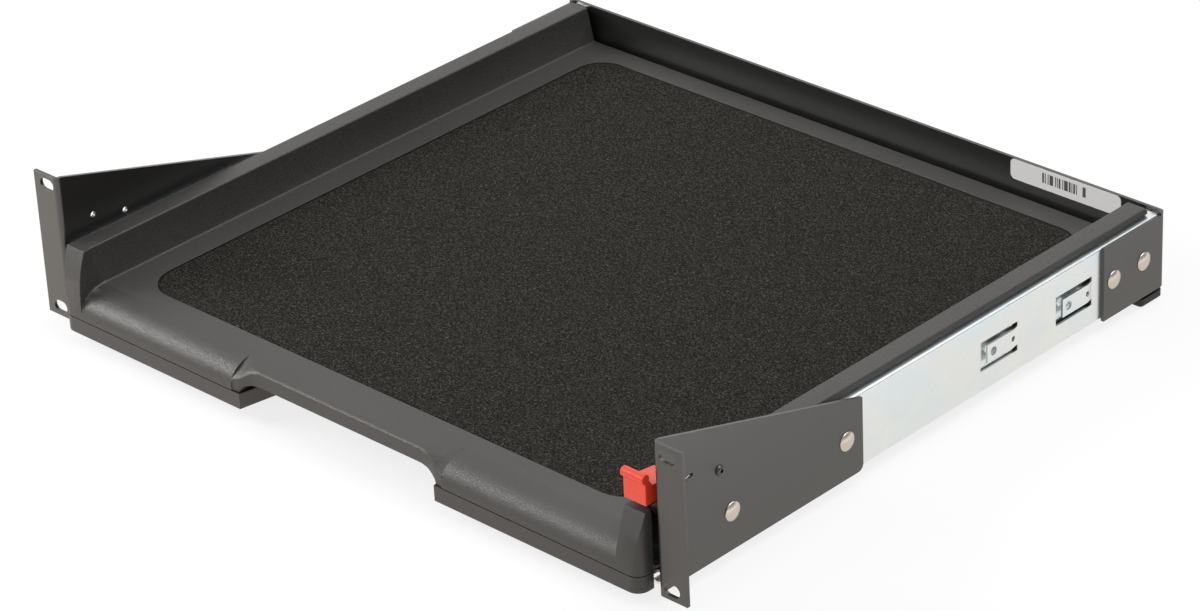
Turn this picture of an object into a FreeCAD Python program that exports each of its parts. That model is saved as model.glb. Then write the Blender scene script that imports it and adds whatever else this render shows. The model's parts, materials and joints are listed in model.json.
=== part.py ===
"""Sliding rack shelf, two units high, for a 19 inch rack.

X runs to the right, Y to the back and Z up, in millimetres. The origin is the centre of the four
rack slots, on the front face of the ears. Heights in this file are measured from the bottom of the
ears, and every piece is moved down by half an ear's height when it is written.
"""
import FreeCAD, Part
import math
import os

# Rack and ears
rack_units = 2
rack_unit = 44.45
rack_clearance = 0.8
ear_reach = 17.5
slot_pitch_up = 76.2
slot_edge_distance = 10.3
slot_length = 11.0
slot_width = 7.0

# Steel frame
sheet = 2.0
sheet_bend = 2.0
frame_width = 447.6
bracket_depth = 154.0
bracket_bottom = 1.3
bracket_rear_height = 44.2
bracket_corner = 4.0
rail_end_gap = 2.2
panel_lift = 0.1
panel_rise = 1.4
wing_drop = 1.6
wing_length = 54.4
flange_depth = 21.0
flange_gap = 0.3
flange_gap_side = 0.3
flange_relief = 0.5

# Ball slides
rail_length = 400.0
rail_front = 5.7
rail_thickness = 12.7
rail_lift = 0.1
rail_sheet = 1.2
rail_bend = 0.9
inner_bend = 0.7
ball_radius = 1.8
ball_gap = 0.3
race_angle = 30.0
race_blend = 0.8
outer_ball_height = 19.0
outer_ball_depth = 6.05
race_step_angle = 39.4
outer_lip = 0.8
inner_lip = 0.5
middle_web_depth = 3.4
middle_inset = 2.0
inner_inset = 0.5
cage_sheet = 0.5
cage_bend = 0.6
cage_length = 150.0
outer_cage_depth = 2.0
inner_cage_depth = 5.5
cage_leg = 2.2
inner_cage_leg = 1.5
cage_pocket_gap = 0.15
balls_in_row = 2
ball_bands = 6
ball_sides = 8
lance_insets = (153.7, 89.7)
lance_length = 31.0
lance_height = 17.5
lance_drop = 0.4
tongue_height = 11.0
tongue_gap = 4.6
tongue_lift = 1.0
tongue_hole = 2.5
tongue_hole_along = 9.8
tongue_small_hole = 1.6
tongue_small_hole_along = 26.5
tongue_bend = 2.0
tongue_ramp = 3.0
bumper_length = 3.0
bumper_half_height = 14.5
bumper_peg = 2.5
end_tab_reach = 11.2
end_tab_length = 6.4
end_tab_corner = 2.5
end_tab_gap = 0.3
bumper_peg_inset = 4.5
bumper_foot = 0.5

# Rivets and screws
bracket_rivet_front = 53.6
bracket_rivet_inset = 12.6
panel_rivet_insets = (45.6, 19.0)
rivet_head = 5.5
rivet_dome = 2.0
rivet_shank = 2.4
rivet_tail = 3.3
rail_screw_inset = 54.7
rail_screw_shank = 1.75
rail_screw_head = 3.2
rail_screw_head_height = 1.8
rail_screw_length = 6.2
screw_gap = 0.05
tray_screw_inset_side = 59.1
tray_screw_inset_front = 38.0
tray_screw_inset_rear = 54.5
tray_screw_shank = 1.6
tray_screw_head = 3.4
tray_screw_head_height = 2.0
tray_screw_length = 12.0
tray_screw_seat = 2.6
tray_screw_room = 0.4
screw_tip = 0.6

# Tray
tray_overhang = 9.0
tray_rear_gap = 3.4
base_height = 9.5
seam_gap = 0.5
floor_height = 25.3
floor_wall = 2.6
shell_wall = 3.0
base_wall = 2.5
base_side_gap = 0.3
rail_cover_gap = 0.4
ridge_cap = 3.4
ridge_side_gap = 5.1
ridge_width = 12.3
ridge_flank_gap = 3.7
ridge_flank_height = 3.0
ridge_draft = 1.7
ridge_edge = 1.0
ridge_rear_lean = 3.5
ridge_front_lean = 7.9
ridge_front_sag = 2.3
ridge_front_middle = 32.0
cove_width = 4.0
cove_rise = 3.0
nose_sections = 3
nose_end = 0.8
nose_fade = 0.7
post_corner = 7.0
post_gap = 2.7
post_rear_corner = 2.0
post_side_gap = 0.6
post_lap = 1.0
roll_depth = 20.0
roll_drop = 13.1
roll_pull = 0.58
roll_end = 79.5
lip_setback = 4.0
lip_depth = 3.3
lip_drop = 2.0
lip_height = 9.2
lip_pull = 0.6
valley_start = 17.0
valley_front = 0.5
valley_drop = 9.6
valley_pull = 0.2
recess_half = 74.5
recess_arch = 13.0
arch_sections = 4
recess_depth = 33.0
recess_taper = 6.5
recess_corner = 6.0
mat_side_border = 13.7
mat_front_border = 30.8
mat_rear_border = 14.6
mat_front_corner = 21.5
mat_rear_corner = 17.7
mat_thickness = 1.8
mat_pocket = 2.2
mat_gap = 0.3
pad_radius = 7.0
pad_height = 5.0
boss_radius = 4.5
rail_boss = 9.0

# Latch
latch_clearance = 0.3
pivot_along = 45.2
pivot_rise = 1.2
latch_slot_along = 22.5
latch_slot_rise = 7.5
latch_slot_length = 7.0
latch_slot_width = 2.6
latch_slot_tilt = 10.0
latch_width = 15.0
latch_lap = 1.4
latch_front = -2.1
latch_plate = 4.2
latch_taper = 1.2
latch_flare = 1.5
latch_plate_rise = 13.5
latch_bead = 2.7
latch_bead_back = 0.6
latch_bead_rise = 1.6
latch_body_length = 15.6
latch_body_front_height = 10.4
latch_body_rear_height = 7.4
latch_arm_gap = 1.9
latch_arm_thickness = 3.3
latch_arm_neck = 7.2
arm_rise = 3.2
arm_front_rise = 0.8
arm_overlap = 4.0
hub_thickness = 1.3
hub_radius = 4.4
collar_radius = 2.9
collar_gap = 0.4
sleeve_radius = 2.0
sleeve_flange = 3.0
sleeve_flange_thickness = 0.6
sleeve_flange_gap = 0.1
pivot_clearance = 0.05
screw_head = 3.0
screw_head_height = 1.65
screw_core = 1.2
socket_across = 2.0
socket_depth = 1.0
spring_wire = 0.3
spring_radius = 3.5
spring_pitch = 0.75
coil_steps = 12
wire_sides = 6
spring_gap = 0.1
spring_hook_back = 8.0
notch_depth = 3.6
notch_length = 14.0
left_hole = 1.7

# Feet and sticker
foot_size = (21.0, 19.5)
foot_inset = 0.4
foot_height = 4.8
foot_corner = 3.0
foot_edge = 1.0
sticker_side_gap = 26.8
sticker_width = 77.5
sticker_top_gap = 0.4
sticker_height = 12.6
sticker_corner = 3.0
sticker_thickness = 0.2

# Places worked out from the sizes above
ear_height = rack_units * rack_unit - rack_clearance
ear_middle = ear_height / 2
side_outer = frame_width / 2
side_inner = side_outer - sheet
ear_edge = side_outer + ear_reach
slot_across = ear_edge - slot_edge_distance
race_radius = ball_radius + ball_gap + rail_sheet / 2
race_half = (race_radius + race_blend) * math.sin(math.radians(race_angle))
race_rise = (race_radius + race_blend) * (1 - math.cos(math.radians(race_angle)))
inner_ball_height = outer_ball_height - 2 * race_radius * math.cos(math.radians(race_step_angle))
inner_ball_depth = outer_ball_depth + 2 * race_radius * math.sin(math.radians(race_step_angle))
rail_half = outer_ball_height + race_radius + rail_sheet / 2
rail_centre = bracket_bottom + rail_lift + rail_half
rail_top = rail_centre + rail_half
rail_rear = rail_front + rail_length
bumper_peg_along = rail_rear - bumper_peg_inset
panel_inner = rail_rear + rail_end_gap
panel_rear = panel_inner + sheet
panel_top = rail_top + panel_rise
tray_bottom = bracket_bottom
flange_top = tray_bottom - flange_gap
flange_bottom = flange_top - sheet
panel_bottom = flange_top + panel_lift
bracket_rivets = (bracket_rivet_front, bracket_depth - bracket_rivet_inset)
panel_rivets = tuple(panel_rear - inset for inset in panel_rivet_insets)
rail_screw_places = (rail_front + rail_screw_inset, rail_front + rail_length / 2,
                     rail_rear - rail_screw_inset)
tray_side = side_inner - rail_thickness
tray_front = -tray_overhang
tray_rear = panel_inner - tray_rear_gap
seam = tray_bottom + base_height
skirt_bottom = seam + seam_gap / 2
base_top = seam - seam_gap / 2
floor_top = tray_bottom + floor_height
pocket_floor = floor_top - mat_pocket
floor_under = pocket_floor - floor_wall
ridge_under = rail_top + rail_cover_gap
ridge_top = ridge_under + ridge_cap
ridge_outer = side_inner - ridge_side_gap
ridge_inner = ridge_outer - ridge_width
ridge_flank = side_inner - ridge_flank_gap
ridge_front_top = tray_front + ridge_front_lean
post_outer = ridge_flank - post_side_gap
post_rear = rail_front - post_gap
wall_foot = ridge_inner - ridge_draft
wall_foot_top = floor_top + cove_rise
wall_slope = ridge_draft / (ridge_top - wall_foot_top)
cove_inside = wall_foot - cove_width
roll_start = tray_front + roll_depth
mat_half_width = cove_inside - mat_side_border
mat_front = tray_front + mat_front_border
mat_rear = tray_rear - mat_rear_border
pad_top = tray_bottom + pad_height
screw_seat = tray_bottom + tray_screw_seat
screw_x = tray_side - tray_screw_inset_side
screw_front = tray_front + recess_depth + tray_screw_inset_front
screw_rear = tray_rear - tray_screw_inset_rear
tray_screw_places = [(x, y) for x in (-screw_x, screw_x)
                     for y in (screw_front, (screw_front + screw_rear) / 2, screw_rear)]
latch_bottom = ridge_top + latch_clearance
pivot_height = latch_bottom + pivot_rise
latch_slot_height = latch_bottom + latch_slot_rise
latch_plate_top = latch_bottom + latch_plate_rise
latch_arm_outer = side_inner - latch_arm_gap
latch_arm_inner = latch_arm_outer - latch_arm_thickness
latch_right = latch_arm_inner + latch_lap
latch_left = latch_right - latch_width
latch_body_rear = latch_front + latch_body_length
arm_neck = pivot_along - latch_arm_neck
spring_hook_along = arm_neck - spring_hook_back
hub_inner = latch_arm_outer - hub_thickness
collar_outer = side_inner - collar_gap

RIGHT = FreeCAD.Vector(1, 0, 0)
BACK = FreeCAD.Vector(0, 1, 0)
UP = FreeCAD.Vector(0, 0, 1)
TINY = 1e-6


def at(x, y, z):
    return FreeCAD.Vector(x, y, z)


def block(x0, x1, y0, y1, z0, z1):
    """A box between two corners."""
    return Part.makeBox(x1 - x0, y1 - y0, z1 - z0, at(x0, y0, z0))


def rod(radius, start, end):
    """A cylinder from one point to another."""
    axis = end - start
    return Part.makeCylinder(radius, axis.Length, start, axis)


def ball(radius, centre):
    return Part.makeSphere(radius, centre)


def joined(first, *others):
    """One clean solid made of pieces that meet."""
    return first.multiFuse(list(others)).removeSplitter()


def mirrored(shape):
    """The same piece on the other side of the shelf."""
    return shape.mirror(at(0, 0, 0), RIGHT)


def outline(corners, place):
    """A closed outline through corners of (u, v) or (u, v, radius), where a radius rounds the corner."""
    points = [FreeCAD.Vector(c[0], c[1], 0) for c in corners]
    edges = []
    last = None
    first = None
    for k, corner in enumerate(corners):
        here = points[k]
        radius = corner[2] if len(corner) > 2 else 0.0
        if radius <= 0:
            start = end = here
        else:
            back = (points[k - 1] - here).normalize()
            ahead = (points[(k + 1) % len(points)] - here).normalize()
            half = back.getAngle(ahead) / 2
            reach = radius / math.tan(half)
            start = here + back * reach
            end = here + ahead * reach
            centre = here + (back + ahead).normalize() * (radius / math.sin(half))
            middle = centre + (here - centre).normalize() * radius
        if last is not None and (start - last).Length > TINY:
            edges.append(Part.LineSegment(place(last), place(start)).toShape())
        if radius > 0:
            edges.append(Part.Arc(place(start), place(middle), place(end)).toShape())
        if first is None:
            first = start
        last = end
    if (first - last).Length > TINY:
        edges.append(Part.LineSegment(place(last), place(first)).toShape())
    return Part.Wire(Part.__sortEdges__(edges))


def plan(corners, z0, z1):
    """A solid with a plan outline of (x, y) corners, between two heights."""
    wire = outline(corners, lambda p: at(p.x, p.y, z0))
    return Part.Face(wire).extrude(UP * (z1 - z0))


def across(corners, x0, x1):
    """A solid with a side outline of (y, z) corners, between two places across the shelf."""
    wire = outline(corners, lambda p: at(x0, p.x, p.y))
    return Part.Face(wire).extrude(RIGHT * (x1 - x0))


def along(corners, y0, y1):
    """A solid with a front outline of (x, z) corners, between two places from front to back."""
    wire = outline(corners, lambda p: at(p.x, y0, p.y))
    return Part.Face(wire).extrude(BACK * (y1 - y0))


def strip(start, heading, moves, thickness, place):
    """The face of a folded strip. Its middle line starts at a point with a heading in degrees, and
    each move is a length, or a bend as (radius, turn) with a left turn positive."""
    here = FreeCAD.Vector(start[0], start[1], 0)
    angle = math.radians(heading)
    sides = {1: [], -1: []}
    half = thickness / 2

    def normal(a):
        return FreeCAD.Vector(-math.sin(a), math.cos(a), 0)

    for move in moves:
        if isinstance(move, tuple):
            radius, turn = move
            hand = 1 if turn > 0 else -1
            centre = here + normal(angle) * (hand * radius)
            step = math.radians(turn)
            for side in sides:
                reach = radius - hand * side * half
                points = [centre - normal(angle + step * f) * (hand * reach) for f in (0, 0.5, 1)]
                sides[side].append(Part.Arc(*[place(p) for p in points]).toShape())
            angle += step
            here = centre - normal(angle) * (hand * radius)
        else:
            ahead = here + FreeCAD.Vector(math.cos(angle), math.sin(angle), 0) * move
            for side in sides:
                shift = normal(angle) * (side * half)
                sides[side].append(Part.LineSegment(place(here + shift), place(ahead + shift)).toShape())
            here = ahead
    caps = []
    for index, end in ((0, 0), (-1, -1)):
        a = sides[1][index].Vertexes[end].Point
        b = sides[-1][index].Vertexes[end].Point
        caps.append(Part.LineSegment(a, b).toShape())
    return Part.Face(Part.Wire(Part.__sortEdges__(sides[1] + sides[-1] + caps)))


# Rack brackets

def slotted_hole(x, y, z, length, width, direction, tilt, depth):
    """A round-ended slot cut along direction, centred on a point, tilted in its own face."""
    half = length / 2 - width / 2
    if direction == BACK:
        ends = [at(x - half, y, z), at(x + half, y, z)]
        body = block(x - half, x + half, y, y + depth, z - width / 2, z + width / 2)
        centre = at(x, y, z)
    else:
        ends = [at(x, y - half, z), at(x, y + half, z)]
        body = block(x, x + depth, y - half, y + half, z - width / 2, z + width / 2)
        centre = at(x, y, z)
    slot = body.multiFuse([rod(width / 2, e, e + direction * depth) for e in ends])
    return slot.rotate(centre, direction, tilt)


def rivet_hole(y):
    return rod(rivet_shank, at(side_inner - rail_sheet, y, rail_centre), at(side_outer, y, rail_centre))


def rack_bracket():
    """The bracket of the right-hand side: an ear folded out from a side plate that tapers to the back."""
    ear_run = ear_edge - side_inner - sheet / 2 - sheet_bend
    plate_run = bracket_depth - sheet / 2 - sheet_bend
    folded = strip((side_inner + sheet / 2, bracket_depth), -90,
                   [plate_run, (sheet_bend, 90), ear_run], sheet, lambda p: at(p.x, p.y, 0))
    bracket = folded.extrude(UP * ear_height)
    bend_end = sheet + sheet_bend
    side = across([(bend_end, bracket_bottom), (bracket_depth, bracket_bottom, bracket_corner),
                   (bracket_depth, bracket_rear_height), (bend_end, ear_height), (-sheet, ear_height),
                   (-sheet, 0), (bend_end, 0)], side_inner - sheet, ear_edge + sheet)
    bracket = bracket.common(side)
    cuts = [rivet_hole(y) for y in bracket_rivets]
    for z in (ear_middle - slot_pitch_up / 2, ear_middle + slot_pitch_up / 2):
        cuts.append(slotted_hole(slot_across, 0, z, slot_length, slot_width, BACK, 0, sheet))
    return bracket.cut(cuts)


def right_bracket():
    cuts = [slotted_hole(side_inner, latch_slot_along, latch_slot_height, latch_slot_length,
                         latch_slot_width, RIGHT, latch_slot_tilt, sheet)]
    cuts.append(rod(screw_core + pivot_clearance, at(side_inner, pivot_along, pivot_height),
                    at(side_outer, pivot_along, pivot_height)))
    return rack_bracket().cut(cuts)


def left_bracket():
    holes = [(latch_slot_along, latch_slot_height), (pivot_along, pivot_height)]
    cuts = [rod(left_hole, at(side_inner, y, z), at(side_outer, y, z)) for y, z in holes]
    return mirrored(rack_bracket().cut(cuts))


# Rear panel

def rear_panel():
    """A U folded from one strip, with a flange folded forward under the tray to carry the feet."""
    middle = side_inner + sheet / 2
    straight = wing_length - sheet / 2 - sheet_bend
    face_run = 2 * (middle - sheet_bend)
    folded = strip((middle, panel_rear - wing_length), 90,
                   [straight, (sheet_bend, 90), face_run, (sheet_bend, 90), straight], sheet,
                   lambda p: at(p.x, p.y, panel_bottom))
    walls = folded.extrude(UP * (panel_top - panel_bottom))
    reach = side_inner - flange_gap_side
    bend_reach = face_run / 2 - flange_relief
    flange_run = flange_depth - sheet / 2 - sheet_bend
    flange_middle = flange_top - sheet / 2
    riser = panel_bottom - flange_middle - sheet_bend
    low = strip((panel_rear - flange_depth, flange_middle), 0,
                [flange_run, (sheet_bend, 90), riser + sheet], sheet, lambda p: at(-bend_reach, p.x, p.y))
    flange = low.extrude(RIGHT * (2 * bend_reach))
    front = panel_rear - flange_depth
    plate = block(-reach, reach, front, front + flange_run - flange_relief, flange_bottom, flange_top)
    panel = joined(walls, flange, plate)
    over_wings = block(-side_outer, side_outer, panel_rear - wing_length, panel_inner - sheet_bend,
                       panel_top - wing_drop, panel_top)
    holes = []
    for y in panel_rivets:
        holes.append(rivet_hole(y))
        holes.append(mirrored(rivet_hole(y)))
    return panel.cut(holes + [over_wings])


def rear_feet():
    """Two stuck-on rubber feet under the corners of the flange."""
    x1 = side_outer - foot_inset
    x0 = x1 - foot_size[0]
    y1 = panel_rear - foot_inset
    y0 = y1 - foot_size[1]
    corners = [(x0, y0, foot_corner), (x1, y0, foot_corner), (x1, y1, foot_corner), (x0, y1, foot_corner)]
    foot = plan(corners, flange_bottom - foot_height, flange_bottom)
    half_way = flange_bottom - foot_height / 2
    low = [e for e in foot.Edges if max(v.Z for v in e.Vertexes) < half_way]
    foot = foot.makeChamfer(foot_edge, low)
    return Part.makeCompound([foot, mirrored(foot)])


def rear_sticker():
    """A blank printed label on the inner face of the rear panel."""
    x1 = side_inner - sticker_side_gap
    x0 = x1 - sticker_width
    z1 = panel_top - sticker_top_gap
    z0 = z1 - sticker_height
    corners = [(x0, z0, sticker_corner), (x1, z0, sticker_corner), (x1, z1, sticker_corner),
               (x0, z1, sticker_corner)]
    return along(corners, panel_inner - sticker_thickness, panel_inner)


# Rivets and slide screws

def rivet(y):
    """A domed rivet through a side plate and the web of the outer rail, with its tail set flush."""
    chord = rivet_head
    radius = (chord ** 2 + rivet_dome ** 2) / (2 * rivet_dome)
    centre = at(side_outer + rivet_dome - radius, y, rail_centre)
    dome = ball(radius, centre).common(block(side_outer, side_outer + rivet_dome + 1,
                                             y - chord, y + chord, rail_centre - chord, rail_centre + chord))
    tail_end = side_inner - rail_sheet
    shank = rod(rivet_shank, at(tail_end, y, rail_centre), at(side_outer, y, rail_centre))
    return joined(dome, shank, tail_cone(y))


def rivets(places):
    """One rivet at each place, on both sides of the shelf."""
    right = [rivet(y) for y in places]
    return Part.makeCompound(right + [mirrored(r) for r in right])


def tail_cone(y):
    """The conical tail of a rivet, set flush into the web of the outer rail."""
    start = at(side_inner - rail_sheet, y, rail_centre)
    return Part.makeCone(rivet_tail, rivet_shank, rivet_tail - rivet_shank, start, RIGHT)


def tail_hole(y):
    """The countersunk hole of a rivet in the web of the outer rail."""
    return tail_cone(y).fuse(rivet_hole(y))


def rail_screw(y):
    """A flat-head screw that fixes the inner rail to the side of the tray."""
    seat = tray_side + rail_sheet
    tip = seat - rail_screw_length
    head = rod(rail_screw_head, at(seat, y, rail_centre), at(seat + rail_screw_head_height, y, rail_centre))
    return joined(head, rod(rail_screw_shank, at(tip, y, rail_centre), at(seat, y, rail_centre)))


def rail_screws():
    right = [rail_screw(y) for y in rail_screw_places]
    return Part.makeCompound(right + [mirrored(s) for s in right])


# Slide members of the right-hand side. A depth is measured from the side plate towards the tray.

def member(web_depth, start_turn, moves, thickness, y0, y1, half_web):
    """A rail or cage pressed from strip: half its section from the middle of the web, and its mirror."""
    place = lambda p: at(side_inner - p.x, y0, rail_centre + p.y)
    section = strip((web_depth, 0), 90, [half_web, start_turn] + moves, thickness, place)
    upper = section.extrude(BACK * (y1 - y0))
    lower = upper.mirror(at(0, 0, rail_centre), UP)
    return joined(upper, lower)


def tongue(y):
    """A lanced tongue, rooted at the rear of its window and lifted outwards."""
    rise = tongue_lift + rail_sheet / 2
    root = y + lance_length + rail_sheet
    tip = y + tongue_gap
    x = side_inner - rail_sheet / 2
    ramp = tongue_ramp * rise
    bend = math.degrees(math.atan2(tongue_lift, ramp))
    sweep = math.hypot(tongue_lift, ramp) - 2 * tongue_bend * math.tan(math.radians(bend / 2))
    moves = [rail_sheet, (tongue_bend, bend), sweep, (tongue_bend, -bend)]
    used = rail_sheet + 2 * tongue_bend * math.sin(math.radians(bend)) + sweep * math.cos(math.radians(bend))
    moves.append(root - tip - used)
    low = rail_centre - tongue_height / 2
    face = strip((x, root), -90, moves, rail_sheet, lambda p: at(p.x, p.y, low))
    shape = face.extrude(UP * tongue_height)
    holes = []
    for radius, place in ((tongue_hole, tongue_hole_along), (tongue_small_hole, tongue_small_hole_along)):
        start = at(x - rail_sheet, y + place, rail_centre)
        holes.append(rod(radius, start, start + RIGHT * (tongue_lift + 2 * rail_sheet)))
    return shape.cut(holes)


def window(y):
    """The U-shaped opening around a tongue."""
    z0 = rail_centre - lance_height / 2 - lance_drop
    x0 = side_inner - rail_sheet - 1
    return block(x0, side_inner + 1, y, y + lance_length, z0, z0 + lance_height)


def race_moves():
    """The ball race in the side of a rail: out of the flat, over the balls and back."""
    return [(race_blend, race_angle), (race_radius, -2 * race_angle), (race_blend, race_angle)]


def outer_rail():
    base = outer_ball_height + race_radius - race_rise
    run = outer_ball_depth - race_half - rail_sheet / 2 - rail_bend
    moves = [run] + race_moves() + [outer_lip]
    rail = member(rail_sheet / 2, (rail_bend, -90), moves, rail_sheet, rail_front, rail_rear,
                  base - rail_bend)
    starts = [rail_rear - inset for inset in lance_insets]
    cuts = [tail_hole(y) for y in bracket_rivets + panel_rivets]
    cuts += [window(y) for y in starts]
    cuts.append(rod(bumper_peg, at(side_inner - rail_sheet, bumper_peg_along, rail_centre),
                    at(side_inner, bumper_peg_along, rail_centre)))
    x0 = side_inner - end_tab_reach
    x1 = side_inner - rail_sheet
    y1 = panel_inner - end_tab_gap
    y0 = y1 - end_tab_length
    top = rail_centre + base + rail_sheet / 2
    corners = [(x0, y0, end_tab_corner), (x1, y0), (x1, y1), (x0, y1, end_tab_corner)]
    tab = plan(corners, top - rail_sheet, top)
    return joined(rail.cut(cuts), tab, *[tongue(y) for y in starts])


def middle_rail():
    base = outer_ball_height - race_radius + race_rise
    lead = outer_ball_depth - race_half - middle_web_depth - rail_bend
    moves = [lead] if lead > TINY else []
    moves += [(race_blend, -race_angle), (race_radius, race_angle + race_step_angle),
              (race_radius, -race_angle - race_step_angle), (race_blend, race_angle)]
    return member(middle_web_depth, (rail_bend, -90), moves, rail_sheet, rail_front + middle_inset,
                  rail_rear - middle_inset - bumper_length, base - rail_bend)


def inner_rail():
    base = inner_ball_height - race_radius + race_rise
    web_depth = rail_thickness - rail_sheet / 2
    run = web_depth - inner_bend - inner_ball_depth - race_half
    moves = [run] + race_moves() + [inner_lip]
    rail = member(web_depth, (inner_bend, 90), moves, rail_sheet, rail_front + inner_inset,
                  rail_rear - middle_inset - bumper_length, base - inner_bend)
    holes = [rod(rail_screw_shank + screw_gap, at(tray_side - 1, y, rail_centre),
                 at(tray_side + rail_sheet + 1, y, rail_centre)) for y in rail_screw_places]
    return rail.cut(holes)


def ball_places(depth, height):
    """Centres of the balls of one cage: two rows, evenly spaced along it."""
    first = rail_front + (rail_length - cage_length) / 2
    pitch = cage_length / balls_in_row
    return [at(side_inner - depth, first + pitch * (k + 0.5), rail_centre + side * height)
            for k in range(balls_in_row) for side in (1, -1)]


def cage(web_depth, height, ball_depth, leg):
    """A U of thin strip that keeps the balls apart, with a square pocket for each."""
    first = rail_front + (rail_length - cage_length) / 2
    reach = ball_depth + leg - web_depth - cage_bend
    shape = member(web_depth, (cage_bend, -90), [reach], cage_sheet, first, first + cage_length,
                   height - cage_bend)
    half = ball_radius + cage_pocket_gap
    pockets = [block(c.x - half, c.x + half, c.y - half, c.y + half, c.z - half, c.z + half)
               for c in ball_places(ball_depth, height)]
    return shape.cut(pockets)


def bearing_ball(centre):
    """A ball in flat facets, bands round an upright axis, so that the many hidden ones stay light."""
    rings = []
    for band in range(ball_bands + 1):
        tilt = math.pi * band / ball_bands
        rings.append([centre + at(math.sin(tilt) * math.cos(2 * math.pi * k / ball_sides),
                                  math.sin(tilt) * math.sin(2 * math.pi * k / ball_sides),
                                  math.cos(tilt)) * ball_radius for k in range(ball_sides)])
    facets = []
    for low, high in zip(rings, rings[1:]):
        for k in range(ball_sides):
            after = (k + 1) % ball_sides
            corners = [low[k], low[after], high[after], high[k]]
            clear = [p for i, p in enumerate(corners) if (p - corners[i - 1]).Length > TINY]
            facets.append(Part.Face(Part.makePolygon(clear + clear[:1])))
    return Part.makeSolid(Part.makeShell(facets))


def balls(depth, height):
    return Part.makeCompound([bearing_ball(c) for c in ball_places(depth, height)])


def rail_bumpers():
    """Plastic stops that close the rear ends of the outer rails, each with a peg through the web."""
    y1 = rail_rear
    y0 = y1 - bumper_length
    x1 = side_inner - rail_sheet
    x0 = side_inner - inner_ball_depth
    z0 = rail_centre - bumper_half_height
    z1 = rail_centre + bumper_half_height
    body = along([(x0, z0, 2.0), (x1, z0, 0.5), (x1, z1, 0.5), (x0, z1, 2.0)], y0, y1)
    peg_at = bumper_peg_along
    foot = block(x1 - bumper_foot, x1, peg_at - bumper_peg, y0, rail_centre - bumper_peg,
                 rail_centre + bumper_peg)
    peg = rod(bumper_peg, at(x1 - bumper_foot, peg_at, rail_centre), at(side_inner, peg_at, rail_centre))
    bumper = joined(body, foot, peg)
    return Part.makeCompound([bumper, mirrored(bumper)])


# Tray top shell

def front_section(x, start, front, turn, bottom, pull):
    """The side outline of the front border at one place across the tray, as a closed wire: level from
    the carpet to start, then curved down to the height turn at the place front, then straight down."""
    spots = [at(x, mat_front, floor_top), at(x, start, floor_top), at(x, front, turn), at(x, front, bottom),
             at(x, mat_front, bottom)]
    curve = Part.BezierCurve()
    curve.setPoles([spots[1], spots[1] - BACK * (start - front) * pull,
                    spots[2] + UP * (floor_top - turn) * pull, spots[2]])
    edges = [Part.LineSegment(spots[0], spots[1]).toShape(), curve.toShape()]
    edges += [Part.LineSegment(spots[k], spots[(k + 1) % 5]).toShape() for k in (2, 3, 4)]
    return Part.Wire(edges)


def lip_section(x):
    """The border's outline over the hand recess and at its arched corner. From the middle to the
    corner the lip comes forward, its front face arches down and a valley opens behind it."""
    arch = recess_half - recess_arch
    f = max(0.0, abs(x) - arch) / (roll_end - arch)
    rise = f * f * (3 - 2 * f)
    drop = min(1.0, max(0.0, abs(x) - arch) / recess_arch)
    mix = lambda middle, corner: middle + (corner - middle) * rise
    lip_front = tray_front + lip_setback
    fall = 1 - math.sqrt(1 - drop * drop)
    bottom = floor_top - lip_height
    return front_section(x, mix(lip_front + lip_depth, tray_front + valley_start),
                         mix(lip_front, tray_front + valley_front),
                         floor_top - mix(lip_drop, valley_drop),
                         bottom - (bottom - skirt_bottom) * fall, mix(lip_pull, valley_pull))


def roll_section(x):
    return front_section(x, roll_start, tray_front, floor_top - roll_drop, skirt_bottom, roll_pull)


def front_border():
    """The front border from side to side: rolls at the ends, the lip in the middle, arches between."""
    arch = recess_half - recess_arch
    edge = ridge_inner + post_lap
    middle = Part.Face(lip_section(-arch)).extrude(RIGHT * (2 * arch))
    places = [arch + recess_arch * math.sin(math.radians(90) * k / arch_sections)
              for k in range(arch_sections + 1)] + [roll_end]
    corner = Part.makeLoft([lip_section(x) for x in places], True, True)
    roll = Part.Face(roll_section(roll_end)).extrude(RIGHT * (edge - roll_end))
    return middle.multiFuse([corner, mirrored(corner), roll, mirrored(roll)])


def roll_hollow():
    """The space inside the roll of the right half, between the hand recess and the side wall."""
    front = tray_front + shell_wall
    corners = [(mat_front + 1, skirt_bottom - 1), (mat_front + 1, floor_under), (roll_start - 1, floor_under),
               (front, floor_top - roll_drop), (front, skirt_bottom - 1)]
    return across(corners, roll_end + shell_wall, foot_at_skirt() - shell_wall)


def foot_at_skirt():
    """Where the drafted inner face of the side wall, carried on down, meets the skirt's lower edge."""
    return wall_foot - wall_slope * (wall_foot_top - skirt_bottom)


def ridge():
    """The right side wall: a drafted inner face over a shallow cove, a flat top and an overhanging flank.
    Before the roll's start the cove gives way and the drafted face runs down to the roll."""
    flank = [(ridge_flank - 1.0, ridge_under), (ridge_flank, ridge_top - ridge_flank_height, ridge_edge / 2),
             (ridge_outer, ridge_top, ridge_edge), (ridge_inner, ridge_top, ridge_edge)]
    outer_foot = [(tray_side, floor_under), (tray_side, ridge_under)]
    inner_foot = [(wall_foot, wall_foot_top), (cove_inside + cove_width / 2, floor_top + cove_rise / 4),
                  (cove_inside, floor_top), (cove_inside, floor_under)]
    wall = along(outer_foot + flank + inner_foot, roll_start, tray_rear)
    front = along([(tray_side, skirt_bottom), (tray_side, ridge_under)] + flank
                  + [(foot_at_skirt(), skirt_bottom)], tray_front, roll_start)
    skirt = block(tray_side - shell_wall, tray_side, roll_start, tray_rear, skirt_bottom, floor_top)
    return wall.multiFuse([front, skirt])


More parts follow.
